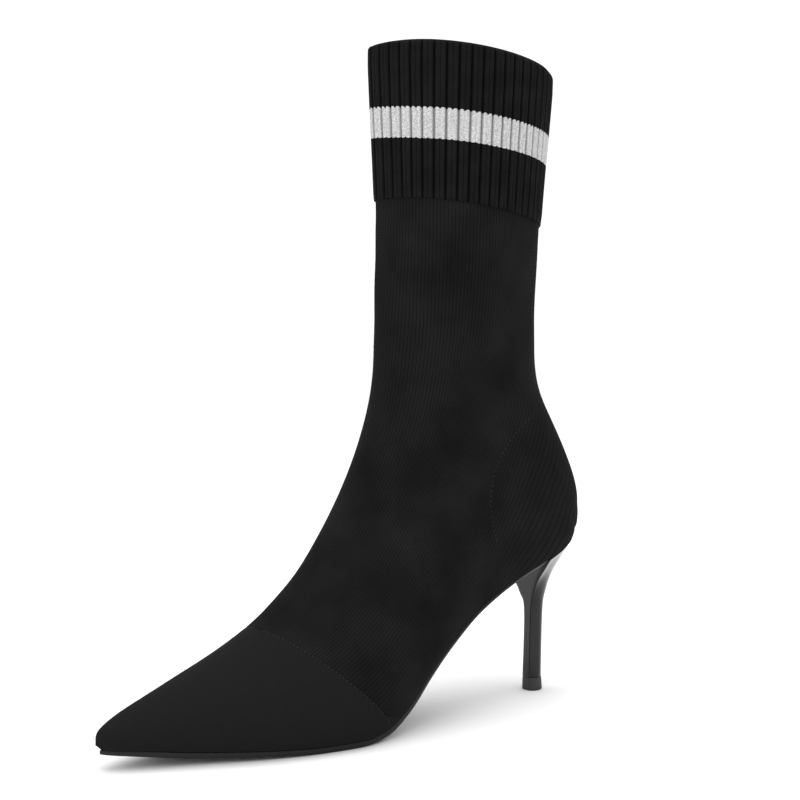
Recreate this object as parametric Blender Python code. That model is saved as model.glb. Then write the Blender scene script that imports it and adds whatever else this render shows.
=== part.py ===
"""A sock boot for the left foot: a knitted upper with a ribbed cuff on a stiletto heel.

The toe points to -Y, the wearer's left, which is the boot's outer side, to +X, and the leg
up +Z. The origin is the middle of the heel tip's tread, on the floor. A run is a length
forward from the back of the heel, and a rise is a height above the floor.
"""

import math

import bmesh
import bpy
import numpy as np

# The last
LAST_LENGTH = 0.2470     # back of the heel to the tip of the toe, seen from above
BALL_WIDTH = 0.0766      # side to side over the ball of the foot
HEEL_HEIGHT = 0.0755     # floor to the back of the seat
BEND_HEIGHT = 0.1783     # floor to the front of the ankle, where the foot turns into the leg
TOE_LEAN = 0.0070        # how far the tip of the toe lies to the inner side
ARCH_SWELL = 0.0015      # how far the waist lies to the outer side
HEEL_SET = 0.0220        # back of the heel to the middle of the heel tip

# The leg
LEG_HEIGHT = 0.3054      # floor to the top of the cuff at the front
LEG_DROP = 0.0134        # how much lower the cuff is at the back
LEG_DEPTH = 0.0875       # front to back under the cuff
LEG_WIDTH = 0.0776       # side to side under the cuff
LEG_SET = 0.0577         # back of the heel to the middle of the leg at the cuff

# Walls and layers
WALL = 0.0018            # knit with its lining
SOLE_THICKNESS = 0.0028
WAIST_THICKNESS = 0.0012  # the sole at the heel's breast
TIP_THICKNESS = 0.0016   # the sole at the tip of the toe
TIP_REACH = 0.0300       # how far from the tip the sole takes to reach its thickness
INSOLE_THICKNESS = 0.0020
SOLE_SETBACK = 0.0009    # how far the upper swells over the outsole's edge
HEEL_SETBACK = 0.0004    # the same at the seat
GAP = 0.0003             # between neighbouring pieces

# The cuff
CUFF_HEIGHT = 0.0678
CUFF_THICKNESS = 0.0010
CUFF_TURN_IN = 0.0120    # how far the cuff reaches down inside the leg
CUFF_EASE = 0.0030       # how far its lower edge takes to thin out
STRIPE_DROP = 0.0283     # top of the cuff to the top of the stripe
STRIPE_HEIGHT = 0.0132   # as measured in the photo, without the small arches
RIB_COUNT = 48
RIB_RELIEF = 0.0006

# The heel
LIFT_HEIGHT = 0.0064
LIFT_WIDTH = 0.0097
STEM_WIDTH = 0.0088
STEM_LEAN = 0.0018       # how far back the top of the stem lies from the heel tip
BREAST_TURN = 150        # degrees from the back to the edge of the flat breast
STEM_SHARE = 0.46        # how much of the heel's height is straight stem
BREAST_SET = 0.0275      # back of the heel to the top of the breast

# Counts
RING_POINTS = 25         # around a section, from the outer feather edge to the inner one
ROW_STEPS = 2            # sections for each row of the tables
SEAT_POINTS = 9          # along each side of the heel's seat
POINTS_PER_RIB = 3

STACK = SOLE_THICKNESS + GAP

# Sections of the foot, from the toe to the back of the heel. The base is the feather edge,
# where the upper meets the sole, and the ridge is the middle line over the top. Runs are
# shares of the last's length. A base rise is a share of the way from the sole to the seat,
# and a ridge rise of the way from the sole to the bend of the ankle. Widths are shares of
# the ball's width, and the belly is how far up a section is widest.
FOOT_COLUMNS = ("base_run", "base_rise", "ridge_run", "ridge_rise", "width", "base_width", "belly")
FOOT_ROWS = (
    (0.993, 0.072, 1.006, 0.047, 0.000, 0.000, 0.450),
    (0.990, 0.073, 1.004, 0.063, 0.076, 0.060, 0.450),
    (0.981, 0.073, 0.998, 0.078, 0.140, 0.115, 0.440),
    (0.962, 0.072, 0.981, 0.095, 0.215, 0.182, 0.420),
    (0.929, 0.066, 0.951, 0.116, 0.315, 0.273, 0.400),
    (0.872, 0.046, 0.898, 0.146, 0.475, 0.414, 0.370),
    (0.805, 0.029, 0.836, 0.181, 0.660, 0.585, 0.340),
    (0.735, 0.014, 0.777, 0.215, 0.830, 0.742, 0.310),
    (0.645, 0.000, 0.726, 0.252, 0.950, 0.862, 0.290),
    (0.582, 0.000, 0.680, 0.293, 1.000, 0.885, 0.280),
    (0.532, 0.021, 0.637, 0.346, 0.990, 0.840, 0.290),
    (0.468, 0.131, 0.597, 0.407, 0.945, 0.735, 0.300),
    (0.408, 0.302, 0.560, 0.482, 0.897, 0.640, 0.320),
    (0.348, 0.466, 0.525, 0.562, 0.860, 0.584, 0.340),
    (0.287, 0.618, 0.494, 0.646, 0.828, 0.565, 0.365),
    (0.222, 0.740, 0.467, 0.736, 0.809, 0.578, 0.395),
    (0.159, 0.832, 0.449, 0.816, 0.806, 0.590, 0.430),
    (0.101, 0.894, 0.440, 0.876, 0.814, 0.551, 0.457),
    (0.053, 0.940, 0.436, 0.921, 0.822, 0.444, 0.477),
    (0.020, 0.971, 0.434, 0.960, 0.831, 0.292, 0.490),
    (0.004, 0.990, 0.432, 0.988, 0.837, 0.136, 0.498),
    (-.001, 1.000, 0.431, 1.000, 0.840, 0.000, 0.500),
)

# Sections of the leg, going on to the edge under the cuff. Back and front are shares of
# half the leg's depth, counted from the middle of the leg. A back rise is a share of the
# way from the seat to the top of the leg, and a front rise from the bend of the ankle.
LEG_COLUMNS = ("back", "back_rise", "front", "front_rise", "width")
LEG_ROWS = (
    (1.375, 0.026, 1.109, 0.022, 0.837),
    (1.375, 0.067, 1.098, 0.057, 0.845),
    (1.250, 0.137, 1.085, 0.096, 0.853),
    (1.025, 0.219, 1.069, 0.140, 0.862),
    (0.815, 0.298, 1.051, 0.184, 0.871),
    (0.735, 0.379, 1.033, 0.231, 0.880),
    (0.735, 0.475, 1.017, 0.287, 0.892),
    (0.775, 0.583, 1.003, 0.367, 0.911),
    (0.820, 0.694, 0.990, 0.470, 0.930),
    (1.000, 1.000, 1.000, 1.000, 1.000),
)

# The heel above its stem: how far each ring has climbed to the seat, and how much it has
# spread from the stem's outline to the seat's.
FLARE_COLUMNS = ("climb", "spread")
FLARE_ROWS = (
    (0.22, 0.09),
    (0.40, 0.21),
    (0.56, 0.37),
    (0.68, 0.54),
    (0.79, 0.71),
    (0.90, 0.87),
    (1.00, 1.00),
)

# Colour, metallic and roughness
FINISHES = {
    "black_knit": ((0.012, 0.012, 0.013), 0.0, 0.85),
    "silver_knit": ((0.520, 0.520, 0.530), 0.3, 0.50),
    "black_sole": ((0.010, 0.010, 0.010), 0.0, 0.35),
    "black_gloss": ((0.030, 0.028, 0.028), 0.0, 0.12),
    "black_rubber": ((0.015, 0.015, 0.015), 0.0, 0.60),
    "insole_lining": ((0.035, 0.033, 0.032), 0.0, 0.80),
}


def mix(low, high, share):
    """The value a share of the way from low to high."""
    return low + (high - low) * share


def eased(values, t):
    """Values at the rows, read at t on a curve that never swings past its neighbours."""
    values = np.asarray(values, float)
    steps = np.diff(values)
    before = np.concatenate([steps[:1], steps])
    after = np.concatenate([steps, steps[-1:]])
    same_way = before * after > 0
    slopes = np.where(same_way, 2 * before * after / np.where(same_way, before + after, 1), 0)
    row = np.clip(np.floor(t).astype(int), 0, len(values) - 2)
    u = t - row
    start = (1 + 2 * u) * (1 - u) ** 2 * values[row] + u * (1 - u) ** 2 * slopes[row]
    end = u * u * (3 - 2 * u) * values[row + 1] - u * u * (1 - u) * slopes[row + 1]
    return start + end


def foot_row(row):
    """A row of the foot table, in metres."""
    share = dict(zip(FOOT_COLUMNS, row))
    return {
        "base_run": share["base_run"] * LAST_LENGTH,
        "base_rise": mix(STACK, HEEL_HEIGHT, share["base_rise"]),
        "ridge_run": share["ridge_run"] * LAST_LENGTH,
        "ridge_rise": mix(STACK, BEND_HEIGHT, share["ridge_rise"]),
        "half": share["width"] * BALL_WIDTH / 2,
        "base_half": share["base_width"] * BALL_WIDTH / 2,
        "belly": share["belly"],
    }


def leg_row(row):
    """A row of the leg table, in metres. The section is closed at the back."""
    share = dict(zip(LEG_COLUMNS, row))
    edge = CUFF_THICKNESS + GAP
    back_top = LEG_HEIGHT - LEG_DROP - edge
    front_top = LEG_HEIGHT - edge
    return {
        "base_run": LEG_SET - share["back"] * LEG_DEPTH / 2,
        "base_rise": mix(HEEL_HEIGHT, back_top, share["back_rise"]),
        "ridge_run": LEG_SET + share["front"] * LEG_DEPTH / 2,
        "ridge_rise": mix(BEND_HEIGHT, front_top, share["front_rise"]),
        "half": share["width"] * LEG_WIDTH / 2,
        "base_half": 0.0,
        "belly": 0.5,
    }


ROWS = [foot_row(row) for row in FOOT_ROWS] + [leg_row(row) for row in LEG_ROWS]
LAST_ROW = len(ROWS) - 1
SEAT_ROW = len(FOOT_ROWS) - 1


def read(column, t):
    """A column of both tables at one or more places t, counted in rows from the toe."""
    return eased([row[column] for row in ROWS], np.asarray(t, float))


def middle(run):
    """How far the middle line lies to the outer side at a run."""
    share = np.clip(np.asarray(run) / LAST_LENGTH, 0, 1)
    swell = ARCH_SWELL * np.sin(np.pi * np.clip((share - 0.2) / 0.45, 0, 1))
    bend = np.clip((share - 0.52) / 0.48, 0, 1)
    return swell - TOE_LEAN * bend * bend * (1.9 - 0.9 * bend)


def place(run, across, rise):
    """A point of the boot from its run, its distance from the middle line and its rise."""
    return (float(middle(run) + across), float(HEEL_SET - run), float(rise))


def section(t, points=RING_POINTS):
    """The upper's outer skin at t: from the outer feather edge over the ridge to the inner."""
    row = {column: float(read(column, t)) for column in ROWS[0]}
    ring = []
    for index in range(points):
        turn = 2 * index / (points - 1)
        climb = 0.5 * (1 - math.cos(math.pi * min(turn, 2 - turn)))
        below = max(1 - climb / row["belly"], 0)
        above = max((climb - row["belly"]) / (1 - row["belly"]), 0)
        rounded = row["half"] * math.sqrt(max(1 - max(above, below) ** 2, 0))
        half = math.hypot(rounded, row["base_half"] * below)
        side = 0 if abs(turn - 1) < 1e-9 else math.copysign(1, 1 - turn)
        run = mix(row["base_run"], row["ridge_run"], climb)
        ring.append(place(run, side * half, mix(row["base_rise"], row["ridge_rise"], climb)))
    return ring


def spaced(path, count):
    """Count points at even distances along a path, its two ends included."""
    path = np.array(path)
    steps = np.linalg.norm(np.diff(path, axis=0), axis=1)
    along = np.concatenate([[0], np.cumsum(steps)])
    wanted = np.linspace(0, along[-1], count)
    return np.stack([np.interp(wanted, along, column) for column in path.T], axis=1)


# The base line from the toe to the back of the seat
FINE = np.linspace(0, SEAT_ROW, 8 * SEAT_ROW + 1)
BASE_RUNS = read("base_run", FINE)
BASE_RISES = read("base_rise", FINE)
BASE_HALVES = read("base_half", FINE)


def bed(run):
    """The rise of the feather edge at a run."""
    return np.interp(run, BASE_RUNS[::-1], BASE_RISES[::-1])


def feather(inset, from_run=None, to_run=None):
    """Run and half width along the feather edge, set in, from the toe to the back."""
    slope_run = np.gradient(BASE_RUNS)
    slope_half = np.gradient(BASE_HALVES)
    slope_half[0] = max(slope_half[0], abs(slope_run[0]) * 20)
    slope_half[-1] = min(slope_half[-1], -abs(slope_run[-1]) * 20)
    length = np.hypot(slope_run, slope_half)
    runs = BASE_RUNS - inset * slope_half / length
    halves = BASE_HALVES + inset * slope_run / length
    halves[0] = halves[-1] = 0
    keep = (halves > 0) | (np.arange(len(runs)) == 0) | (np.arange(len(runs)) == len(runs) - 1)
    runs, halves = runs[keep], halves[keep]
    low = runs[-1] if from_run is None else from_run
    high = runs[0] if to_run is None else to_run
    inside = (runs > low) & (runs < high)
    at_high = np.interp(high, runs[::-1], halves[::-1])
    at_low = np.interp(low, runs[::-1], halves[::-1])
    line_runs = np.concatenate([[high], runs[inside], [low]])
    line_halves = np.concatenate([[at_high], halves[inside], [at_low]])
    return line_runs, line_halves


def finish(name):
    """A material from the table of finishes."""
    material = bpy.data.materials.get(name)
    if material is None:
        colour, metallic, roughness = FINISHES[name]
        material = bpy.data.materials.new(name)
        material.use_nodes = True
        shader = material.node_tree.nodes["Principled BSDF"]
        shader.inputs["Base Color"].default_value = (*colour, 1)
        shader.inputs["Metallic"].default_value = metallic
        shader.inputs["Roughness"].default_value = roughness
    return material


def make(name, mesh, parent, *finishes):
    """An object from a bmesh, merged, facing out and shaded smooth up to its sharp edges."""
    bmesh.ops.remove_doubles(mesh, verts=mesh.verts, dist=GAP / 30)
    bmesh.ops.dissolve_degenerate(mesh, edges=mesh.edges, dist=GAP / 100)
    bmesh.ops.recalc_face_normals(mesh, faces=mesh.faces)
    data = bpy.data.meshes.new(name)
    mesh.to_mesh(data)
    mesh.free()
    for one in finishes:
        data.materials.append(finish(one))
    data.shade_smooth()
    data.set_sharp_from_angle(angle=math.radians(40))
    piece = bpy.data.objects.new(name, data)
    piece.parent = parent
    bpy.context.scene.collection.objects.link(piece)
    return piece


def loft(mesh, rings, closed=True, caps=True):
    """Quads between rings of as many points, and a face over each end ring."""
    loops = [[mesh.verts.new(point) for point in ring] for ring in rings]
    count = len(loops[0])
    for lower, upper in zip(loops, loops[1:]):
        for index in range(count if closed else count - 1):
            following = (index + 1) % count
            mesh.faces.new((lower[index], lower[following], upper[following], upper[index]))
    if caps:
        mesh.faces.new(loops[0])
        mesh.faces.new(loops[-1])
    return loops


def build_upper(parent):
    """The knitted upper: open at the collar and along the bottom, with its wall inwards."""
    mesh = bmesh.new()
    places = np.linspace(0, LAST_ROW, LAST_ROW * ROW_STEPS + 1)
    loft(mesh, [section(t) for t in places], closed=False, caps=False)
    upper = make("upper", mesh, parent, "black_knit")
    wall = upper.modifiers.new("wall", "SOLIDIFY")
    wall.thickness = WALL
    wall.offset = -1
    wall.use_even_offset = True
    wall.use_quality_normals = True
    return upper


def leg_place(drop):
    """The place in rows of the leg section that lies a drop below the edge under the cuff."""
    places = np.linspace(SEAT_ROW, LAST_ROW, 200)
    heights = (read("base_rise", places) + read("ridge_rise", places)) / 2
    return float(np.interp(heights[-1] - drop, heights, places))


def cuff_ring(drop, out, grooved):
    """A ring of the cuff, out from the knit, with its grooves cut back where grooved."""
    edge = CUFF_THICKNESS + GAP
    fine = 4 * RING_POINTS - 3 if grooved else RING_POINTS
    ring = np.array(section(leg_place(max(drop - edge, 0)), fine))
    ring[:, 2] += max(edge - drop, 0)
    ring = spaced(ring, RIB_COUNT * POINTS_PER_RIB + 1)[:-1]
    tangent = np.roll(ring, -1, axis=0) - np.roll(ring, 1, axis=0)
    outward = np.stack([tangent[:, 1], -tangent[:, 0]], axis=1)
    outward /= -np.linalg.norm(outward, axis=1, keepdims=True)
    depth = np.full(len(ring), out)
    if grooved:
        depth[::POINTS_PER_RIB] -= RIB_RELIEF
    ring[:, :2] += outward * depth[:, None]
    return [tuple(point) for point in ring]


def build_cuff(parent):
    """The ribbed cuff, folded over the upper's edge. Its stripe is knitted in."""
    edge = GAP + CUFF_THICKNESS
    inside = -WALL - GAP
    profile = (
        (CUFF_HEIGHT, GAP, False),
        (CUFF_HEIGHT, mix(GAP, edge, 0.5), False),
        (CUFF_HEIGHT - CUFF_EASE, edge, True),
        (STRIPE_DROP + STRIPE_HEIGHT, edge, True),
        (STRIPE_DROP, edge, True),
        (edge / 2, edge, True),
        (0.0, edge / 2, True),
        (0.0, inside - CUFF_THICKNESS, False),
        (CUFF_TURN_IN, inside - CUFF_THICKNESS, False),
        (CUFF_TURN_IN, inside, False),
        (edge - GAP, inside, False),
        (edge - GAP, GAP, False),
    )
    mesh = bmesh.new()
    rings = [cuff_ring(*ring) for ring in profile]
    loops = loft(mesh, rings + rings[:1], caps=False)
    striped = set(loops[3]) | set(loops[4])
    for face in mesh.faces:
        face.material_index = 1 if striped.issuperset(face.verts) else 0
    return make("cuff", mesh, parent, "black_knit", "silver_knit")


def strip(runs, halves, lows, highs, bevel=0.0):
    """Rings of a flat layer along the foot, with its lower edge set in by the bevel."""
    rings = []
    for run, half, (low_run, low), high in zip(runs, halves, lows, highs):
        foot = max(half - bevel, 0)
        shoulder = mix(low, high, min(bevel / max(high - low, GAP), 1))
        shoulder_run = mix(low_run, run, min(bevel / max(high - low, GAP), 1))
        rings.append((
            place(run, half, high),
            place(run, -half, high),
            place(shoulder_run, -half, shoulder),
            place(low_run, -foot, low),
            place(low_run, foot, low),
            place(shoulder_run, half, shoulder),
        ))
    return rings


def build_insole(parent):
    """The thin board inside, clear of the upper's wall."""
    runs, halves = feather(WALL + GAP)
    runs, halves = runs[::3], halves[::3]
    rises = bed(runs)
    lows = list(zip(runs, rises))
    mesh = bmesh.new()
    loft(mesh, strip(runs, halves, lows, rises + INSOLE_THICKNESS))
    return make("insole", mesh, parent, "insole_lining")


def build_outsole(parent):
    """The thin sole, from the toe to the heel's breast, flat on the floor under the ball."""
    runs, halves = feather(SOLE_SETBACK, from_run=BREAST_SET + GAP)
    runs, halves = spaced(np.stack([runs, halves], axis=1), 45).T
    highs = bed(runs) - GAP
    slope_run = np.gradient(runs)
    slope_rise = np.gradient(highs)
    length = np.hypot(slope_run, slope_rise)
    waist = np.clip((LAST_LENGTH / 2 - runs) / (LAST_LENGTH / 2 - BREAST_SET), 0, 1)
    tip = np.clip((TIP_REACH - runs[0] + runs) / TIP_REACH, 0, 1)
    thickness = SOLE_THICKNESS - waist * (SOLE_THICKNESS - WAIST_THICKNESS)
    thickness -= tip * tip * (SOLE_THICKNESS - TIP_THICKNESS)
    low_runs = runs - thickness * slope_rise / length * np.clip(halves / SOLE_THICKNESS, 0, 1)
    lows = highs + thickness * slope_run / length
    low_runs[-1] = runs[-1]
    mesh = bmesh.new()
    loft(mesh, strip(runs, halves, list(zip(low_runs, lows)), highs, bevel=SOLE_THICKNESS / 4))
    return make("outsole", mesh, parent, "black_sole")


def heel_ring(width, rise, lean=0.0):
    """A round ring with a flat breast, from the breast's outer edge round the back."""
    ring = []
    for index in range(2 * SEAT_POINTS - 1):
        turn = math.radians(BREAST_TURN) * (1 - index / (SEAT_POINTS - 1))
        ring.append((width / 2 * math.sin(turn), width / 2 * math.cos(turn) + lean, rise))
    return ring


def seat_ring():
    """The top of the heel: under the feather edge, from the breast round the back."""
    runs, halves = feather(HEEL_SETBACK, to_run=BREAST_SET)
    runs, halves = spaced(np.stack([runs, halves], axis=1), SEAT_POINTS).T
    outer = [place(run, half, bed(run) - GAP) for run, half in zip(runs, halves)]
    inner = [place(run, -half, bed(run) - GAP) for run, half in zip(runs, halves)]
    return outer + inner[-2::-1]


def build_heel(parent):
    """The stiletto heel: a straight stem, then a flare that takes the seat's outline."""
    foot = LIFT_HEIGHT + GAP
    neck = mix(foot, HEEL_HEIGHT, STEM_SHARE)
    stem = heel_ring(STEM_WIDTH, neck, STEM_LEAN)
    seat = seat_ring()
    rings = [heel_ring(STEM_WIDTH, foot), stem]
    for row in FLARE_ROWS:
        share = dict(zip(FLARE_COLUMNS, row))
        rings.append([
            (
                mix(low[0], high[0], share["spread"]),
                mix(low[1], high[1], share["spread"]),
                mix(low[2], high[2], share["climb"]),
            )
            for low, high in zip(stem, seat)
        ])
    mesh = bmesh.new()
    loops = loft(mesh, rings, caps=False)
    mesh.faces.new(loops[0])
    top = loops[-1]
    for index in range(SEAT_POINTS - 1):
        far = len(top) - 1 - index
        corners = (top[index], top[index + 1], top[far - 1], top[far])
        mesh.faces.new(tuple(dict.fromkeys(corners)))
    return make("heel", mesh, parent, "black_gloss")


def build_top_lift(parent):
    """The tread piece under the stem, with its edges eased."""
    ease = LIFT_HEIGHT / 12
    rings = (
        heel_ring(LIFT_WIDTH - 2 * ease, 0.0),
        heel_ring(LIFT_WIDTH, ease),
        heel_ring(LIFT_WIDTH, LIFT_HEIGHT - ease),
        heel_ring(LIFT_WIDTH - 2 * ease, LIFT_HEIGHT),
    )
    mesh = bmesh.new()
    loft(mesh, rings)
    return make("top_lift", mesh, parent, "black_rubber")


def main():
    """Clears the scene and builds the boot under one empty."""
    for old in list(bpy.data.objects):
        bpy.data.objects.remove(old)
    boot = bpy.data.objects.new("boot", None)
    bpy.context.scene.collection.objects.link(boot)
    build_upper(boot)
    build_cuff(boot)
    build_insole(boot)
    build_outsole(boot)
    build_heel(boot)
    build_top_lift(boot)


main()
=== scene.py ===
# %% [markdown]
# # A knitted sock boot on a stiletto heel
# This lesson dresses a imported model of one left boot. The solids give every size and place,
# and the cells below give what a photograph of the real boot shows: knitted cloth, ribs,
# stitches, a silver stripe and a polished heel. The frame is loaded first, because every
# piece that follows is fitted to it and rides on its one body.

# %% Load the frame
import math

import bpy
import numpy as np
from mathutils import Matrix, Vector
from mathutils.bvhtree import BVHTree


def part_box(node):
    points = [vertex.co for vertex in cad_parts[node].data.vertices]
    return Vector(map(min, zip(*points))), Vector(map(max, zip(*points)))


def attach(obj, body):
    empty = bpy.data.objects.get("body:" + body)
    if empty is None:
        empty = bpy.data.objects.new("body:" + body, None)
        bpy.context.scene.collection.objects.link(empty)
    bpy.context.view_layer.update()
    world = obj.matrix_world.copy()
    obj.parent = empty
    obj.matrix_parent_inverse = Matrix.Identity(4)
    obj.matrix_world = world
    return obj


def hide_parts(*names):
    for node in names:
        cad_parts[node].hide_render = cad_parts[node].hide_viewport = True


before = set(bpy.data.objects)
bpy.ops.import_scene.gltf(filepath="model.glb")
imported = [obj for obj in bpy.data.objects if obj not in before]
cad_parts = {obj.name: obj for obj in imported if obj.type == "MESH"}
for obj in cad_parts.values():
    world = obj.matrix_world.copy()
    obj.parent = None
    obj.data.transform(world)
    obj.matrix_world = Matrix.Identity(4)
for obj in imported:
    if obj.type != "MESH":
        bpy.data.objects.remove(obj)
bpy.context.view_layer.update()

# %% [markdown]
# ## Small helpers
# An operator works on what is selected and active, so each step starts with a clean
# selection. A CAD node's mesh is loose triangles. To get a smooth form from it, a copy is
# merged, its triangles are paired into quads, and a subdivision surface rounds them. Edges
# that are really sharp get a crease first, or the subdivision would melt them. Subdivision
# also draws every bend inwards. So a trial copy shows by how much, and the cage is pushed out
# by the same distance before the real one: the smooth skin then runs through the solid's own
# points, and the piece keeps its size.

# %% Selecting, copying and smoothing
MM = 0.001


def pick(piece):
    """Selects one object alone and makes it active."""
    if bpy.context.object is not None and bpy.context.object.mode != "OBJECT":
        bpy.ops.object.mode_set(mode="OBJECT")
    bpy.ops.object.select_all(action="DESELECT")
    piece.select_set(True)
    bpy.context.view_layer.objects.active = piece


def points_of(piece):
    """The vertices of a piece as rows of x, y and z."""
    rows = np.empty(len(piece.data.vertices) * 3)
    piece.data.vertices.foreach_get("co", rows)
    return rows.reshape(-1, 3)


def normals_of(piece):
    """The vertex normals of a piece as rows."""
    rows = np.empty(len(piece.data.vertices) * 3)
    piece.data.vertices.foreach_get("normal", rows)
    return rows.reshape(-1, 3)


def move_points(piece, rows):
    """Puts the vertices of a piece where the rows say."""
    piece.data.vertices.foreach_set("co", np.asarray(rows, float).ravel())
    piece.data.update()


def apply_modifier(piece, kind, **settings):
    """Adds a modifier with its settings and applies it."""
    pick(piece)
    modifier = piece.modifiers.new(kind.title(), kind)
    for name, value in settings.items():
        setattr(modifier, name, value)
    bpy.ops.object.modifier_apply(modifier=modifier.name)


def smooth_copy(node, name, levels, sharp_degrees=50, crease=1.0):
    """A smooth piece from a CAD node: merged, paired into quads, creased and subdivided."""
    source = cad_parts[node]
    piece = bpy.data.objects.new(name, source.data.copy())
    piece.data.materials.clear()
    bpy.context.scene.collection.objects.link(piece)
    pick(piece)
    bpy.ops.object.mode_set(mode="EDIT")
    bpy.ops.mesh.select_all(action="SELECT")
    bpy.ops.mesh.remove_doubles(threshold=0.02 * MM)
    bpy.ops.mesh.customdata_custom_splitnormals_clear()
    bpy.ops.mesh.tris_convert_to_quads(
        face_threshold=math.radians(60), shape_threshold=math.radians(80)
    )
    bpy.ops.mesh.select_all(action="DESELECT")
    bpy.ops.mesh.select_mode(type="EDGE")
    bpy.ops.mesh.edges_select_sharp(sharpness=math.radians(sharp_degrees))
    bpy.ops.transform.edge_crease(value=crease)
    bpy.ops.mesh.select_mode(type="VERT")
    bpy.ops.object.mode_set(mode="OBJECT")
    cage = points_of(piece)
    trial = bpy.data.objects.new("trial", piece.data.copy())
    bpy.context.scene.collection.objects.link(trial)
    apply_modifier(trial, "SUBSURF", levels=levels, render_levels=levels)
    move_points(piece, 2 * cage - points_of(trial)[:len(cage)])
    bpy.data.objects.remove(trial)
    apply_modifier(piece, "SUBSURF", levels=levels, render_levels=levels)
    pick(piece)
    bpy.ops.object.shade_smooth()
    print(name, "has", len(piece.data.polygons), "faces")
    return piece


def finish_piece(piece, replaced, material):
    """Gives a piece its material and its body, and hides the CAD node that it stands for."""
    piece.data.materials.clear()
    piece.data.materials.append(material)
    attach(piece, "root")
    if replaced:
        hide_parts(replaced)


# %% [markdown]
# ## The camera
# The photograph looks at the boot's outer side from in front, from about knee height of the
# boot. The camera stands where the outlines of the toe, the sole, the heel and the collar all
# fall on the photographed ones. It is turned a little about its own axis, because the
# photographed boot leans that much in its frame.

# %% Camera
CAMERA_AZIMUTH = 55.06
CAMERA_ELEVATION = 3.15
CAMERA_DISTANCE = 712.1 * MM
CAMERA_TARGET = Vector((0.0, -74.6 * MM, 145.6 * MM))
CAMERA_ROLL = -1.44
CAMERA_LENS = 70.03

azimuth = math.radians(CAMERA_AZIMUTH)
elevation = math.radians(CAMERA_ELEVATION)
back = Vector((
    math.sin(azimuth) * math.cos(elevation),
    -math.cos(azimuth) * math.cos(elevation),
    math.sin(elevation),
))
bpy.ops.object.camera_add(location=CAMERA_TARGET + back * CAMERA_DISTANCE)
camera = bpy.context.object
camera.name = "camera"
camera.rotation_mode = "QUATERNION"
level = (-back).to_track_quat("-Z", "Y").to_matrix()
rolled = level @ Matrix.Rotation(math.radians(CAMERA_ROLL), 3, "Z")
camera.rotation_quaternion = rolled.to_quaternion()
camera.data.lens = CAMERA_LENS
camera.data.sensor_width = 36
bpy.context.scene.camera = camera
print("the camera stands at", [round(value, 3) for value in camera.location])

# %% [markdown]
# ## The studio
# The boot stands on a pale floor in soft white light. A product photograph like this one is
# lit by large white boxes: the black knit shows almost nothing of them, but the polished heel
# mirrors them as long pale bands. So each light here is a large soft area, and the world is
# an even white that fills the shadows.

# %% Floor, world and lights
FLOOR_SIZE = 30.0

bpy.ops.mesh.primitive_plane_add(size=FLOOR_SIZE, location=(0, 0, 0))
floor = bpy.context.object
floor.name = "floor"
floor_paint = bpy.data.materials.new("floor_paint")
floor_paint.use_nodes = True
floor_shader = floor_paint.node_tree.nodes["Principled BSDF"]
floor_shader.inputs["Base Color"].default_value = (0.93, 0.93, 0.93, 1)
floor_shader.inputs["Roughness"].default_value = 0.7
floor_shader.inputs["Specular IOR Level"].default_value = 0.1
floor.data.materials.append(floor_paint)

world = bpy.data.worlds.new("studio")
bpy.context.scene.world = world
world.use_nodes = True
world.node_tree.nodes["Background"].inputs["Color"].default_value = (1, 1, 1, 1)
world.node_tree.nodes["Background"].inputs["Strength"].default_value = 1.08

LIGHTS = (
    ("top_box", (0.1, -0.2, 1.7), (1.4, 1.4), 15.0),
    ("side_box", (1.5, 0.5, 0.9), (0.9, 1.3), 0.8),
    ("front_box", (0.6, -1.7, 1.0), (1.2, 1.2), 5.0),
)
AIM = Vector((0, -0.07, 0.12))

for light_name, place, size, power in LIGHTS:
    bpy.ops.object.light_add(type="AREA", location=place)
    lamp = bpy.context.object
    lamp.name = light_name
    lamp.data.shape = "RECTANGLE"
    lamp.data.size, lamp.data.size_y = size
    lamp.data.energy = power
    lamp.rotation_mode = "QUATERNION"
    lamp.rotation_quaternion = (AIM - Vector(place)).to_track_quat("-Z", "Y")
bpy.context.scene.view_settings.view_transform = "Standard"

# %% [markdown]
# ## Coordinates that follow the knit
# A knitted sock is a tube of wales, the columns of stitches, and courses, its rows. The wales
# run down the leg, turn forward at the ankle and fade out along the foot. A pattern on plain
# object coordinates would cut straight through that turn. So the boot gets a given centre
# line, from the collar to the toe, and each point of the cloth gets two numbers: how far
# round the centre line it lies, and how far along it. They are stored as a UV map.

# %% The centre line and its coordinates
CENTRE_LINE = (
    (-36, 330), (-36, 290), (-38, 240), (-40, 200), (-44, 165), (-52, 132), (-65, 104),
    (-82, 78), (-100, 56), (-120, 38), (-145, 25), (-175, 17), (-210, 13), (-250, 11),
)
CENTRE_STEP = 1.0 * MM
CENTRE_ROUNDING = 300
ROWS_AT_ONCE = 4000


def centre_points():
    """The centre line at even steps, as rows of y and z, rounded by averaging."""
    corners = np.array(CENTRE_LINE, float) * MM
    lengths = np.linalg.norm(np.diff(corners, axis=0), axis=1)
    along = np.concatenate([[0], np.cumsum(lengths)])
    places = np.arange(0, along[-1], CENTRE_STEP)
    line = np.stack([np.interp(places, along, column) for column in corners.T], axis=1)
    for _ in range(CENTRE_ROUNDING):
        line[1:-1] = (line[:-2] + line[2:]) / 4 + line[1:-1] / 2
    return line


LINE = centre_points()
LINE_TANGENT = np.gradient(LINE, axis=0)
LINE_TANGENT /= np.linalg.norm(LINE_TANGENT, axis=1, keepdims=True)


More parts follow.
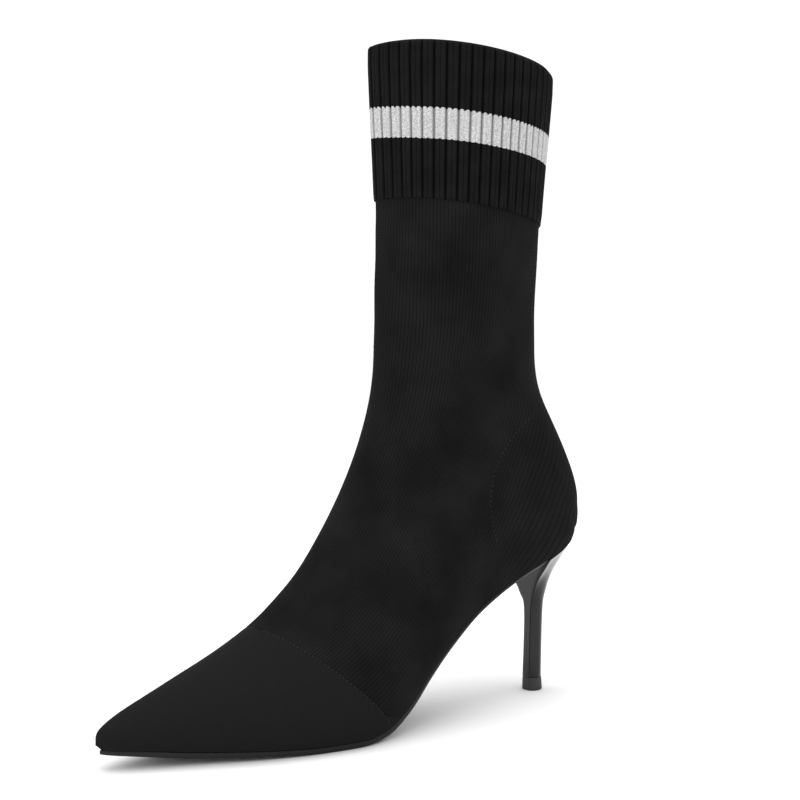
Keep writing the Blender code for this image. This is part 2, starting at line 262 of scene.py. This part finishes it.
def round_and_along(rows):
    """Turns round the centre line (0 at the shin, 0.5 at the back) and metres along it."""
    turns = np.empty(len(rows))
    along = np.empty(len(rows))
    for start in range(0, len(rows), ROWS_AT_ONCE):
        part = rows[start:start + ROWS_AT_ONCE]
        gaps = part[:, None, 1:] - LINE[None, :, :]
        nearest = np.argmin((gaps ** 2).sum(axis=2), axis=1)
        gap = gaps[np.arange(len(part)), nearest]
        tangent = LINE_TANGENT[nearest]
        forward = gap[:, 0] * tangent[:, 1] - gap[:, 1] * tangent[:, 0]
        extra = (gap * tangent).sum(axis=1)
        turns[start:start + ROWS_AT_ONCE] = np.arctan2(part[:, 0], forward) / (2 * math.pi)
        along[start:start + ROWS_AT_ONCE] = nearest * CENTRE_STEP + extra
    return turns, along


def write_uv(piece, around, along, turn):
    """Writes two numbers for each point as the UV map, unbroken where a turn is full."""
    mesh = piece.data
    corners = np.empty(len(mesh.loops), int)
    mesh.loops.foreach_get("vertex_index", corners)
    starts = np.empty(len(mesh.polygons), int)
    counts = np.empty(len(mesh.polygons), int)
    mesh.polygons.foreach_get("loop_start", starts)
    mesh.polygons.foreach_get("loop_total", counts)
    first = np.repeat(around[corners[starts]], counts)
    near = around[corners]
    near = near - np.round((near - first) / turn) * turn
    while mesh.uv_layers:
        mesh.uv_layers.remove(mesh.uv_layers[0])
    layer = mesh.uv_layers.new(name="knit")
    layer.data.foreach_set("uv", np.stack([near, along[corners]], axis=1).ravel())


# %% [markdown]
# ## The knitted upper
# The upper is a stretchy sock pulled over a last. Its form is the solid's own, rounded by
# subdivision. Without a leg in it, the shaft keeps the soft fold down the shin that it was
# packed with. The fold is a table of a few angles round the shaft and how far the cloth
# stands out or in there, and it fades away above the ankle. The back of the heel is padded
# out a little, where the stiffened counter holds the cloth round. In front of the instep a
# seam joins the knit to a smooth toe of fine cloth.

# %% Form of the upper
FOLD_ANGLES = (-180, -50, -38, -29, -19, -10, 0, 12, 25, 38, 180)
FOLD_PUSH = (0, 0, -1.1, -2.0, 0.4, 2.2, 0.6, -0.7, -0.5, 0, 0)
FOLD_LOW = 150 * MM
FOLD_FULL = 235 * MM
SHAFT_CENTRE_Y = -37.5 * MM
PAD_HEIGHTS = (68, 74, 77, 80, 84, 91)
PAD_PUSH = (0, 0.6, 1.0, 0.9, 0.4, 0)
PAD_CENTRE_Y = -5 * MM


def level_directions(rows, centre_y):
    """Level directions, one unit long, from the upright line at x 0 and centre_y."""
    away = rows - (0, centre_y, 0)
    away[:, 2] = 0
    return away / np.maximum(np.linalg.norm(away, axis=1, keepdims=True), MM)


upper = smooth_copy("upper", "knit_upper", levels=2, sharp_degrees=70, crease=0.35)
rows = points_of(upper)
away = level_directions(rows, SHAFT_CENTRE_Y)
angles = np.degrees(np.arctan2(away[:, 0], -away[:, 1]))
strength = np.clip((rows[:, 2] - FOLD_LOW) / (FOLD_FULL - FOLD_LOW), 0, 1)
push = np.interp(angles, FOLD_ANGLES, FOLD_PUSH) * strength ** 2 * (3 - 2 * strength) * MM
rows += away * push[:, None]
away = level_directions(rows, PAD_CENTRE_Y)
behind = np.clip(away[:, 1] * 2, 0, 1)
push = np.interp(rows[:, 2] / MM, PAD_HEIGHTS, PAD_PUSH) * behind * MM
move_points(upper, rows + away * push[:, None])
print("the fold at the shin stands out", max(FOLD_PUSH), "mm")

# %% [markdown]
# The seam is curved, so it isn't cut with a plane: the mesh is subdivided twice more where the
# seam runs, and the points near it are pressed in a little, as thread presses real cloth.

# %% The toe seam
def bend(start, pull, end, steps=8):
    """Points in mm on an even bend from start to end, drawn towards the pull point."""
    shares = np.linspace(0, 1, steps + 1)[:, None]
    ends = (1 - shares) ** 2 * np.array(start) + shares ** 2 * np.array(end)
    return ends + 2 * shares * (1 - shares) * np.array(pull)


SEAM_LINE = bend(start=(-155, 53), pull=(-130, 32), end=(-106, 6))
SEAM_DEPTH = 0.45 * MM
SEAM_REACH = 0.9 * MM
SEAM_REFINED = 3.2 * MM


def distance_to_line(rows, corners):
    """Distance in the side view to a line of y and z, and its sign: plus on the toe's side."""
    line = np.array(corners, float) * MM
    best = np.full(len(rows), np.inf)
    side = np.zeros(len(rows))
    for low, high in zip(line[:-1], line[1:]):
        step = high - low
        gap = rows[:, 1:] - low
        share = np.clip((gap @ step) / (step @ step), 0, 1)
        off = gap - share[:, None] * step
        length = np.linalg.norm(off, axis=1)
        nearer = length < best
        cross = step[0] * gap[:, 1] - step[1] * gap[:, 0]
        best = np.where(nearer, length, best)
        side = np.where(nearer, -np.sign(cross), side)
    return best, side


for reach in (SEAM_REFINED, SEAM_REFINED / 2):
    gap, _ = distance_to_line(points_of(upper), SEAM_LINE)
    pick(upper)
    near = gap < reach
    for vertex, chosen in zip(upper.data.vertices, near):
        vertex.select = bool(chosen)
    bpy.ops.object.mode_set(mode="EDIT")
    bpy.ops.mesh.select_mode(type="VERT")
    bpy.ops.object.mode_set(mode="OBJECT")
    chosen_faces = np.array([all(near[index] for index in face.vertices)
                             for face in upper.data.polygons])
    for edge in upper.data.edges:
        edge.select = False
    for face, chosen in zip(upper.data.polygons, chosen_faces):
        face.select = bool(chosen)
    bpy.ops.object.mode_set(mode="EDIT")
    bpy.ops.mesh.select_mode(type="FACE")
    bpy.ops.mesh.subdivide(number_cuts=1, smoothness=0.6)
    bpy.ops.mesh.select_mode(type="VERT")
    bpy.ops.object.mode_set(mode="OBJECT")

gap, _ = distance_to_line(points_of(upper), SEAM_LINE)
press = SEAM_DEPTH * np.clip(1 - gap / SEAM_REACH, 0, 1) ** 1.5
move_points(upper, points_of(upper) - normals_of(upper) * press[:, None])
write_uv(upper, *round_and_along(points_of(upper)), turn=1)
print("the upper has", len(upper.data.polygons), "faces and a seam",
      round(SEAM_DEPTH / MM, 2), "mm deep")

# %% [markdown]
# ## A toolbox for procedural cloth
# The knit is a height pattern worked out from the UV map: a bump for each wale, with slanted
# stitches along it. These helpers join maths nodes, so that each material below reads like
# the formula it stands for.

# %% Node helpers
def new_material(name, colour, roughness, **sockets):
    """A Principled material with its constant values set on the shader's own sockets."""
    material = bpy.data.materials.new(name)
    material.use_nodes = True
    shader = material.node_tree.nodes["Principled BSDF"]
    shader.inputs["Base Color"].default_value = (*colour, 1)
    shader.inputs["Roughness"].default_value = roughness
    for socket, value in sockets.items():
        shader.inputs[socket.replace("_", " ")].default_value = value
    return material, material.node_tree, shader


def maths(tree, operation, first, second=0.0, third=0.0):
    """A maths node on sockets or numbers."""
    node = tree.nodes.new("ShaderNodeMath")
    node.operation = operation
    for socket, value in zip(node.inputs, (first, second, third)):
        if isinstance(value, bpy.types.NodeSocket):
            tree.links.new(value, socket)
        else:
            socket.default_value = value
    return node.outputs[0]


def knit_place(tree):
    """The two numbers of the knit's UV map."""
    uv = tree.nodes.new("ShaderNodeUVMap")
    uv.uv_map = "knit"
    parts = tree.nodes.new("ShaderNodeSeparateXYZ")
    tree.links.new(uv.outputs[0], parts.inputs[0])
    return parts.outputs[0], parts.outputs[1]


def noise(tree, scale, detail=2.0, stretch=(1, 1, 1)):
    """Noise on object coordinates, stretched as given."""
    place = tree.nodes.new("ShaderNodeTexCoord")
    mapping = tree.nodes.new("ShaderNodeMapping")
    mapping.inputs["Scale"].default_value = stretch
    texture = tree.nodes.new("ShaderNodeTexNoise")
    texture.inputs["Scale"].default_value = scale
    texture.inputs["Detail"].default_value = detail
    tree.links.new(place.outputs["Object"], mapping.inputs[0])
    tree.links.new(mapping.outputs[0], texture.inputs["Vector"])
    return texture.outputs["Fac"]


def ramp(tree, value, low, high, from_low=0.0, from_high=1.0):
    """A value mapped from one span to another, held at its ends."""
    node = tree.nodes.new("ShaderNodeMapRange")
    tree.links.new(value, node.inputs["Value"])
    for socket, number in (("From Min", from_low), ("From Max", from_high),
                           ("To Min", low), ("To Max", high)):
        if isinstance(number, bpy.types.NodeSocket):
            tree.links.new(number, node.inputs[socket])
        else:
            node.inputs[socket].default_value = number
    return node.outputs[0]


def blend_colour(tree, share, first, second):
    """A colour between two colours."""
    node = tree.nodes.new("ShaderNodeMix")
    node.data_type = "RGBA"
    tree.links.new(share, node.inputs[0])
    for socket, colour in ((node.inputs[6], first), (node.inputs[7], second)):
        if isinstance(colour, bpy.types.NodeSocket):
            tree.links.new(colour, socket)
        else:
            socket.default_value = (*colour, 1)
    return node.outputs[2]


def bump(tree, shader, height, depth, strength=1.0):
    """Joins a height pattern, from 0 to 1, to a shader as a bump of that depth."""
    node = tree.nodes.new("ShaderNodeBump")
    node.inputs["Strength"].default_value = strength
    node.inputs["Distance"].default_value = depth
    tree.links.new(height, node.inputs["Height"])
    tree.links.new(node.outputs[0], shader.inputs["Normal"])


WALE_ROUNDNESS = 2.4
STITCH_SLANT = 0.55


def stitches(tree, around, along):
    """Height of plain knit where around counts wales and along counts courses."""
    column = maths(tree, "FRACT", around)
    off_middle = maths(tree, "ABSOLUTE", maths(tree, "SUBTRACT", column, 0.5))
    across = maths(tree, "MULTIPLY", off_middle, 2)
    rounded = maths(tree, "SUBTRACT", 1, maths(tree, "POWER", across, WALE_ROUNDNESS))
    climbed = maths(tree, "ADD", along, maths(tree, "MULTIPLY", across, STITCH_SLANT))
    course = maths(tree, "MULTIPLY", maths(tree, "FRACT", climbed), 2)
    loop = maths(tree, "ABSOLUTE", maths(tree, "SUBTRACT", course, 1))
    return maths(tree, "MULTIPLY", rounded, ramp(tree, loop, 1.0, 0.55)), rounded


# %% [markdown]
# ## Black knit and smooth toe
# The photographed leg is a fine black knit whose wales show best where the cloth is stretched
# over the instep. In front of the seam the toe is a close cloth with only a fine tooth. Both
# are in one material, because they are one skin: the UV map's place and the seam's line
# decide which pattern shows. Black cloth still needs variation, so a slow noise makes some
# patches a little greyer, as brushed fibres do.
# The valleys between the wales are darkened in the colour as painted shade.

# %% Materials of the upper
WALES_AROUND = 148
COURSE = 1.15 * MM
SEAM_FRONT = -160 * MM
SEAM_BACK = -80 * MM
SEAM_HEIGHTS = (58 * MM, 6 * MM)
SEAM_CEILING = 60 * MM


def seam_side(tree):
    """1 in front of the toe seam and 0 behind it, from object coordinates."""
    place = tree.nodes.new("ShaderNodeTexCoord")
    parts = tree.nodes.new("ShaderNodeSeparateXYZ")
    tree.links.new(place.outputs["Object"], parts.inputs[0])
    y, z = parts.outputs[1], parts.outputs[2]
    curve = tree.nodes.new("ShaderNodeFloatCurve")
    line = curve.mapping.curves[0]
    for point, share, height in zip(line.points, (0, 1), SEAM_HEIGHTS):
        point.location = (share, height / SEAM_CEILING)
    for seam_y, seam_z in SEAM_LINE[:-1] * MM:
        share = (seam_y - SEAM_FRONT) / (SEAM_BACK - SEAM_FRONT)
        line.points.new(share, seam_z / SEAM_CEILING)
    for point in line.points:
        point.handle_type = "VECTOR"
    curve.mapping.update()
    tree.links.new(ramp(tree, y, 0.0, 1.0, SEAM_FRONT, SEAM_BACK), curve.inputs["Value"])
    seam_height = maths(tree, "MULTIPLY", curve.outputs[0], SEAM_CEILING)
    below = maths(tree, "LESS_THAN", z, seam_height)
    in_front = maths(tree, "LESS_THAN", y, SEAM_BACK)
    return maths(tree, "MULTIPLY", below, in_front)


knit, tree, shader = new_material(
    "black_knit", (0.007, 0.007, 0.007), 0.9,
    Specular_IOR_Level=0.035,
)
turns, along = knit_place(tree)
wales = maths(tree, "MULTIPLY", turns, WALES_AROUND)
courses = maths(tree, "DIVIDE", along, COURSE)
height, wale = stitches(tree, wales, courses)
toe = seam_side(tree)
tooth = noise(tree, 2600, 1.0)
stretch = ramp(tree, along, 0.5, 1.0, 0.10, 0.22)
knit_height = maths(tree, "MULTIPLY", height, stretch)
knit_height = maths(tree, "MULTIPLY", knit_height, maths(tree, "SUBTRACT", 1, toe))
toe_height = maths(tree, "MULTIPLY", maths(tree, "MULTIPLY", tooth, 0.22), toe)
both = maths(tree, "ADD", knit_height, toe_height)
bump(tree, shader, both, 0.26 * MM, 1.0)
patches = ramp(tree, noise(tree, 38, 3.0), 0.0, 1.0, 0.3, 0.7)
cloth = blend_colour(tree, patches, (0.0060, 0.0060, 0.0062), (0.0122, 0.0122, 0.0125))
# Painted shade: the colour darkens to near black in the valleys between the wales, where the
# raised wales would shade the cloth.
top = ramp(tree, wale, 0.0, 1.0, 0.0, 0.5)
cloth_with_valley_shade = blend_colour(tree, top, (0.0018, 0.0018, 0.0018), cloth)
toe_cloth = blend_colour(tree, tooth, (0.0058, 0.0058, 0.0059), (0.0142, 0.0142, 0.0145))
tree.links.new(blend_colour(tree, toe, cloth_with_valley_shade, toe_cloth), shader.inputs["Base Color"])
finish_piece(upper, "upper", knit)

# %% [markdown]
# ## The ribbed cuff
# The cuff is rib knit, folded over the top of the leg: raised ribs of two wales with a narrow
# groove between them. A tube is extruded ring by ring along the leg, wrapped onto the upper
# with a Shrinkwrap, and then each column of points is raised or lowered by the rib's own
# profile. That way the ribs are real shapes that the outline shows.

# %% Tube for the cuff
RIBS = 48
RIB_POINTS = 12
CUFF_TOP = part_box("cuff")[1].z
CUFF_PROUD = 1.15 * MM
CUFF_ROWS = 44
ROWS_LEFT_TO_FOLD = 3
CUFF_TILT = 8.7
TUBE_RADIUS = 50 * MM
LEG_TOP_CENTRE = Vector((0, -35.7, 296.0)) * MM
LEG_LOW_CENTRE = Vector((0, -39.4, 230.2)) * MM

axis = LEG_TOP_CENTRE - LEG_LOW_CENTRE
bpy.ops.object.select_all(action="DESELECT")
bpy.ops.mesh.primitive_circle_add(
    vertices=RIBS * RIB_POINTS, radius=TUBE_RADIUS, location=LEG_LOW_CENTRE
)
cuff = bpy.context.object
cuff.name = "rib_cuff"
bpy.ops.object.transform_apply(location=True)
column = cuff.data.attributes.new("column", "INT", "POINT")
column.data.foreach_set("value", np.arange(RIBS * RIB_POINTS))
bpy.ops.object.mode_set(mode="EDIT")
bpy.ops.mesh.select_all(action="SELECT")
bpy.ops.transform.rotate(
    value=math.radians(CUFF_TILT), orient_axis="X", center_override=LEG_LOW_CENTRE
)
for _ in range(CUFF_ROWS - ROWS_LEFT_TO_FOLD):
    bpy.ops.mesh.extrude_edges_move(TRANSFORM_OT_translate={"value": axis / CUFF_ROWS})
bpy.ops.mesh.select_all(action="SELECT")
bpy.ops.mesh.normals_make_consistent(inside=False)
bpy.ops.object.mode_set(mode="OBJECT")
print("the tube has", len(cuff.data.vertices), "points in", RIBS, "ribs")

# %% [markdown]
# The tube is wider than the leg, so it is projected inwards onto the cloth and kept a little
# proud of it. The profile of one rib then moves each column of points: deep at the groove,
# round over each of the two wales, and with a shallow line between them. A slack cuff also
# opens a little towards its fold, and its lower edge lies down on the leg.

# %% Wrap the tube and raise its ribs
RIB_PROFILE = (-0.95, -0.42, -0.10, 0.05, 0.04, -0.06, -0.24, -0.06, 0.04, 0.05, -0.10, -0.42)
RIB_FADE = 5.0 * MM
SWELL_PLACES = (0.0, 0.35, 0.75, 0.93, 1.0)
SWELL = (0.5, 0.35, 0.0, -0.1, -0.4)

apply_modifier(
    cuff, "SHRINKWRAP", target=upper, wrap_method="PROJECT", use_negative_direction=True,
    use_positive_direction=False, offset=CUFF_PROUD,
)


def ring_values(piece, name):
    """A stored whole number for each point of a piece."""
    values = np.empty(len(piece.data.vertices), int)
    piece.data.attributes[name].data.foreach_get("value", values)
    return values


def below_top(rows):
    """How far points lie below the top of the cuff, along the leg."""
    tilt = math.tan(math.radians(CUFF_TILT))
    level = CUFF_TOP - tilt * (rows[:, 1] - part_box("cuff")[0].y)
    return (level - rows[:, 2]) * math.cos(math.radians(CUFF_TILT))


rows = points_of(cuff)
outward = normals_of(cuff)
depth = below_top(rows)
fade = np.clip((depth.max() - depth) / RIB_FADE, 0.25, 1)
relief = np.array(RIB_PROFILE)[ring_values(cuff, "column") % RIB_POINTS] * MM
swell = np.interp(depth / depth.max(), SWELL_PLACES, SWELL) * MM
move_points(cuff, rows + outward * (relief * fade + swell)[:, None])
print("the ribs are", round((relief.max() - relief.min()) / MM, 2), "mm deep")

# %% [markdown]
# The cuff's top edge is a fold: the rib goes over the rim and about a centimetre down inside.
# The upper ring is selected by its height and extruded along the shape of the fold, each
# time moved up or down and drawn in towards the leg's middle. The slack band doesn't hang
# quite level: at the shin its courses, and so the stripe, ride up by about two millimetres.

# %% Fold the cuff over the rim
FOLD = (
    (1.5, -0.02), (1.5, -0.02), (1.5, -0.02), (1.2, 0.0), (1.0, 0.05), (0.7, 0.3),
    (0.45, 0.65), (0.1, 0.8), (-0.25, 0.75), (-0.7, 0.6), (-0.9, 0.55), (-1.6, 0.25),
    (-4.5, 0.1), (-5.0, 0.0),
)
HEM = ((-0.1, 0.45), (0.1, 0.65))
FOLD_RADIUS = 42.0 * MM
SAG_ANGLES = (-180, -120, -40, -15, 5, 30, 180)
SAG_RISE = (0, 0.5, 2.1, 1.6, 0.8, 0, 0)


def select_ring(piece, highest):
    """Selects the open ring of edges at the top or the bottom of a tube."""
    pick(piece)
    bpy.ops.object.mode_set(mode="EDIT")
    bpy.ops.mesh.select_mode(type="EDGE")
    bpy.ops.mesh.select_all(action="DESELECT")
    bpy.ops.mesh.select_non_manifold()
    bpy.ops.object.mode_set(mode="OBJECT")
    middle = points_of(piece)[:, 2].mean()
    for edge in piece.data.edges:
        if edge.select:
            height = piece.data.vertices[edge.vertices[0]].co.z
            edge.select = (height > middle) == highest
    for vertex in piece.data.vertices:
        vertex.select = vertex.select and (vertex.co.z > middle) == highest
    chosen = [vertex.co.copy() for vertex in piece.data.vertices if vertex.select]
    bpy.ops.object.mode_set(mode="EDIT")
    return sum(chosen, Vector()) / len(chosen)


def extend_ring(step, draw, centre):
    """Extrudes the selected ring by a step and draws it in towards a centre."""
    bpy.ops.mesh.extrude_edges_move(TRANSFORM_OT_translate={"value": step})
    share = 1 - draw * MM / FOLD_RADIUS
    bpy.ops.transform.resize(value=(share, share, share), center_override=centre)


up_the_leg = axis.normalized()
centre = select_ring(cuff, highest=True)
for rise, draw in FOLD:
    step = up_the_leg * rise * MM
    centre += step
    extend_ring(step, draw, centre)
bpy.ops.object.mode_set(mode="OBJECT")
centre = select_ring(cuff, highest=False)
for rise, draw in HEM:
    extend_ring(up_the_leg * rise * MM, draw, centre)
bpy.ops.mesh.select_all(action="SELECT")
bpy.ops.mesh.normals_make_consistent(inside=False)
bpy.ops.object.mode_set(mode="OBJECT")
pick(cuff)
bpy.ops.object.shade_smooth()

rows = points_of(cuff)
angles = np.degrees(np.arctan2(rows[:, 0], SHAFT_CENTRE_Y - rows[:, 1]))
sag = np.interp(angles, SAG_ANGLES, SAG_RISE) * MM
write_uv(cuff, ring_values(cuff, "column") / RIB_POINTS, below_top(rows) + sag, RIBS)
print("the cuff has", len(cuff.data.polygons), "faces")

# %% [markdown]
# ## Silver stripe in black rib
# The stripe is knitted in with a metal-wrapped yarn. It is not a printed band: its edges
# step up and down with each wale. It sparkles because every stitch turns another way, and
# that sparkle is painted into the yarn's colour as random pale glints. The grooves run
# through it as fine grey lines of painted shade, and painted shade also darkens the grooves
# and the line between the wales in the black. The share of silver is worked out from how
# far a point lies below the fold, with a small arch added for each wale.

# %% Material of the cuff
STRIPE_TOP = 28.3 * MM
STRIPE_LOW = 41.5 * MM
STRIPE_ARCH = 0.9 * MM
RIB_COURSE = 1.25 * MM

rib_knit, tree, shader = new_material(
    "black_rib_with_silver", (0.007, 0.007, 0.007), 0.9,
    Specular_IOR_Level=0.05,
)
ribs, down = knit_place(tree)
wales = maths(tree, "MULTIPLY", ribs, 2)
height, wale = stitches(tree, wales, maths(tree, "DIVIDE", down, RIB_COURSE))
arch = maths(tree, "MULTIPLY", wale, STRIPE_ARCH)
top_edge = maths(tree, "SUBTRACT", STRIPE_TOP + STRIPE_ARCH / 2, arch)
low_edge = maths(tree, "ADD", STRIPE_LOW - STRIPE_ARCH / 2, maths(tree, "MULTIPLY", arch, 0.6))
silver = maths(tree, "MULTIPLY", maths(tree, "GREATER_THAN", down, top_edge),
               maths(tree, "LESS_THAN", down, low_edge))
# Painted shade: the grooves between ribs are coloured grey in the silver and near black in the
# black.
groove = maths(tree, "ABSOLUTE", maths(tree, "SUBTRACT", maths(tree, "FRACT", ribs), 0.5))
groove = ramp(tree, groove, 0.0, 1.0, 0.34, 0.48)
# Painted glints: a fine noise makes the silver yarn's colour paler and darker from stitch to
# stitch, standing in for light sparkling on the metal wrap.
sparkle = noise(tree, 1900, 1.0)
painted_glint = ramp(tree, sparkle, 0.0, 1.0, 0.35, 0.65)
yarn = blend_colour(tree, painted_glint, (0.34, 0.34, 0.345), (0.62, 0.62, 0.63))
yarn = blend_colour(tree, groove, yarn, (0.17, 0.17, 0.17))
patches = ramp(tree, noise(tree, 120, 3.0), 0.0, 1.0, 0.3, 0.7)
black = blend_colour(tree, patches, (0.0052, 0.0052, 0.0054), (0.0088, 0.0088, 0.009))
# Painted shade: the black darkens in the shallow line between the two wales of each rib, where
# the wales would shade it.
top = ramp(tree, wale, 0.0, 1.0, 0.0, 0.4)
black = blend_colour(tree, top, (0.0022, 0.0022, 0.0022), black)
black = blend_colour(tree, groove, black, (0.0006, 0.0006, 0.0006))
tree.links.new(blend_colour(tree, silver, black, yarn), shader.inputs["Base Color"])
tree.links.new(ramp(tree, silver, 0.85, 0.45), shader.inputs["Roughness"])
tree.links.new(ramp(tree, silver, 0.0, 0.25), shader.inputs["Metallic"])
bump(tree, shader, height, 0.3 * MM, 0.8)
finish_piece(cuff, "cuff", rib_knit)

# %% [markdown]
# ## Stitches
# Two rows of thread show on the outer side: one along the toe seam and one that outlines the
# stiffened heel. Each stitch is a short rounded bead of thread that dips into the cloth. One
# stitch is modelled, and copies are laid along each row at even steps, on both sides of the
# boot, turned the way the row runs.

# %% One stitch and its rows
HEEL_ROW = bend(start=(-25, 136), pull=(-58, 112), end=(-44, 80))
ROW_SAMPLES = 240
CAST_FROM = 200 * MM


def stitch_mesh(length, thick):
    """One bead of thread along X, as a mesh."""
    bpy.ops.object.select_all(action="DESELECT")
    bpy.ops.mesh.primitive_uv_sphere_add(segments=8, ring_count=6, radius=thick / 2)
    bead = bpy.context.object
    bpy.ops.object.mode_set(mode="EDIT")
    bpy.ops.mesh.select_all(action="SELECT")
    bpy.ops.transform.rotate(value=math.radians(90), orient_axis="Y", center_override=(0, 0, 0))
    bpy.ops.transform.resize(value=(length / thick, 1, 0.7), center_override=(0, 0, 0))
    bpy.ops.object.mode_set(mode="OBJECT")
    mesh = bead.data
    bpy.data.objects.remove(bead)
    return mesh


def surface_of(piece):
    """A search tree over a piece's faces."""
    corners = [vertex.co for vertex in piece.data.vertices]
    return BVHTree.FromPolygons(corners, [tuple(face.vertices) for face in piece.data.polygons])


def row_on_cloth(surface, corners, side, step):
    """Even points along a side-view line laid onto the cloth, with their normals."""
    line = np.array(corners, float) * MM
    lengths = np.linalg.norm(np.diff(line, axis=0), axis=1)
    along = np.concatenate([[0], np.cumsum(lengths)])
    shares = np.linspace(0, 1, ROW_SAMPLES) ** 2
    found = []
    for place in shares * along[-1]:
        y, z = (float(np.interp(place, along, column)) for column in line.T)
        outside = Vector((side * CAST_FROM, y, z))
        hit, normal, _, _ = surface.ray_cast(outside, Vector((-side, 0, 0)))
        if hit is not None and hit.x * side > 0:
            found.append((hit, normal))
    gaps = [0.0] + [(b[0] - a[0]).length for a, b in zip(found, found[1:])]
    walked = np.cumsum(gaps)
    places = []
    for wanted in np.arange(step / 2, walked[-1], step):
        index = min(int(np.searchsorted(walked, wanted)), len(found) - 1)
        places.append(found[index])
    return places


def lay_stitches(name, mesh, places, lift):
    """Copies of one stitch along the places, joined into one piece."""
    beads = []
    for index, (place, normal) in enumerate(places):
        ahead = places[min(index + 1, len(places) - 1)][0] - places[max(index - 1, 0)][0]
        forward = (ahead - normal * ahead.dot(normal)).normalized()
        turned = Matrix((forward, normal.cross(forward), normal)).transposed().to_4x4()
        turned.translation = place + normal * lift
        bead = bpy.data.objects.new(name, mesh.copy())
        bead.data.transform(turned)
        bpy.context.scene.collection.objects.link(bead)
        beads.append(bead)
    bpy.ops.object.select_all(action="DESELECT")
    for bead in beads:
        bead.select_set(True)
    bpy.context.view_layer.objects.active = beads[0]
    bpy.ops.object.join()
    bpy.ops.object.shade_smooth()
    print(name, "has", len(places), "stitches")
    return bpy.context.object


SEAM_STEP = 2.0 * MM
HEEL_STEP = 2.3 * MM
thread, tree, shader = new_material(
    "black_thread", (0.013, 0.013, 0.013), 0.6, Specular_IOR_Level=0.25,
)
twist = maths(tree, "SINE", maths(tree, "MULTIPLY", noise(tree, 1800, 0.0), 40))
bump(tree, shader, twist, 0.05 * MM, 0.6)

skin = surface_of(upper)
seam_stitch = stitch_mesh(1.25 * MM, 0.5 * MM)
heel_stitch = stitch_mesh(1.1 * MM, 0.4 * MM)
for side, word in ((1, "outer"), (-1, "inner")):
    seam_row = lay_stitches("toe_seam_" + word, seam_stitch,
                            row_on_cloth(skin, SEAM_LINE, side, SEAM_STEP), 0.08 * MM)
    finish_piece(seam_row, None, thread)
    heel_row = lay_stitches("heel_row_" + word, heel_stitch,
                            row_on_cloth(skin, HEEL_ROW, side, HEEL_STEP), 0.0)
    finish_piece(heel_row, None, thread)

# %% [markdown]
# ## Sole, heel and tread
# The sole is a thin board with a polished black edge, the heel is moulded and lacquered, and
# the tread is a small rubber block. Their forms are the solids' own, smoothed, with creases
# where the real edges are crisp. The sole's tip is drawn out under the point of the toe, as
# it is rolled up there on the real boot. The lacquer gets its depth from a clear coat.

# %% Outsole, insole, heel and top lift
SOLE_TIP_FROM = -195 * MM
SOLE_TIP_FORWARD = 2.4 * MM
SOLE_TIP_UP = 0.8 * MM

outsole = smooth_copy("outsole", "smooth_outsole", levels=2, sharp_degrees=35, crease=1.0)
rows = points_of(outsole)
tip = np.clip((SOLE_TIP_FROM - rows[:, 1]) / (SOLE_TIP_FROM - rows[:, 1].min()), 0, 1) ** 2
rows[:, 1] -= tip * SOLE_TIP_FORWARD
rows[:, 2] += tip * SOLE_TIP_UP
move_points(outsole, rows)
heel = smooth_copy("heel", "lacquered_heel", levels=3, sharp_degrees=38, crease=0.8)
lift = smooth_copy("top_lift", "tread", levels=2, sharp_degrees=35, crease=0.85)
LIFT_TOP_SHARE = 0.93
rows = points_of(lift)
rise = np.clip(rows[:, 2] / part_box("top_lift")[1].z, 0, 1)
rows[:, :2] *= (1 - (1 - LIFT_TOP_SHARE) * rise)[:, None]
move_points(lift, rows)
insole = smooth_copy("insole", "lined_insole", levels=2, sharp_degrees=35, crease=0.9)

sole_paint, tree, shader = new_material(
    "polished_sole", (0.007, 0.007, 0.007), 0.34, Specular_IOR_Level=0.16,
    Coat_Weight=0.1, Coat_Roughness=0.15,
)
scuffs = noise(tree, 240, 4.0, (1, 0.25, 1))
tree.links.new(ramp(tree, scuffs, 0.26, 0.46, 0.35, 0.7), shader.inputs["Roughness"])
bump(tree, shader, scuffs, 0.04 * MM, 0.4)

lacquer, tree, shader = new_material(
    "black_lacquer", (0.004, 0.004, 0.004), 0.16, Specular_IOR_Level=0.22,
    Coat_Weight=0.25, Coat_Roughness=0.04,
)
ripple = noise(tree, 90, 1.0)
tree.links.new(ramp(tree, ripple, 0.14, 0.20), shader.inputs["Roughness"])
bump(tree, shader, ripple, 0.02 * MM, 0.3)

rubber, tree, shader = new_material("black_rubber", (0.016, 0.016, 0.016), 0.6)
grit = noise(tree, 1500, 2.0)
tree.links.new(ramp(tree, grit, 0.5, 0.7), shader.inputs["Roughness"])
bump(tree, shader, grit, 0.05 * MM, 0.5)

lining, tree, shader = new_material(
    "insole_lining", (0.03, 0.028, 0.027), 0.75, Specular_IOR_Level=0.3,
)
grain = noise(tree, 700, 3.0)
tree.links.new(blend_colour(tree, grain, (0.022, 0.020, 0.019), (0.040, 0.037, 0.035)),
               shader.inputs["Base Color"])
bump(tree, shader, grain, 0.1 * MM, 0.5)

finish_piece(outsole, "outsole", sole_paint)
finish_piece(heel, "heel", lacquer)
finish_piece(lift, "top_lift", rubber)
finish_piece(insole, "insole", lining)
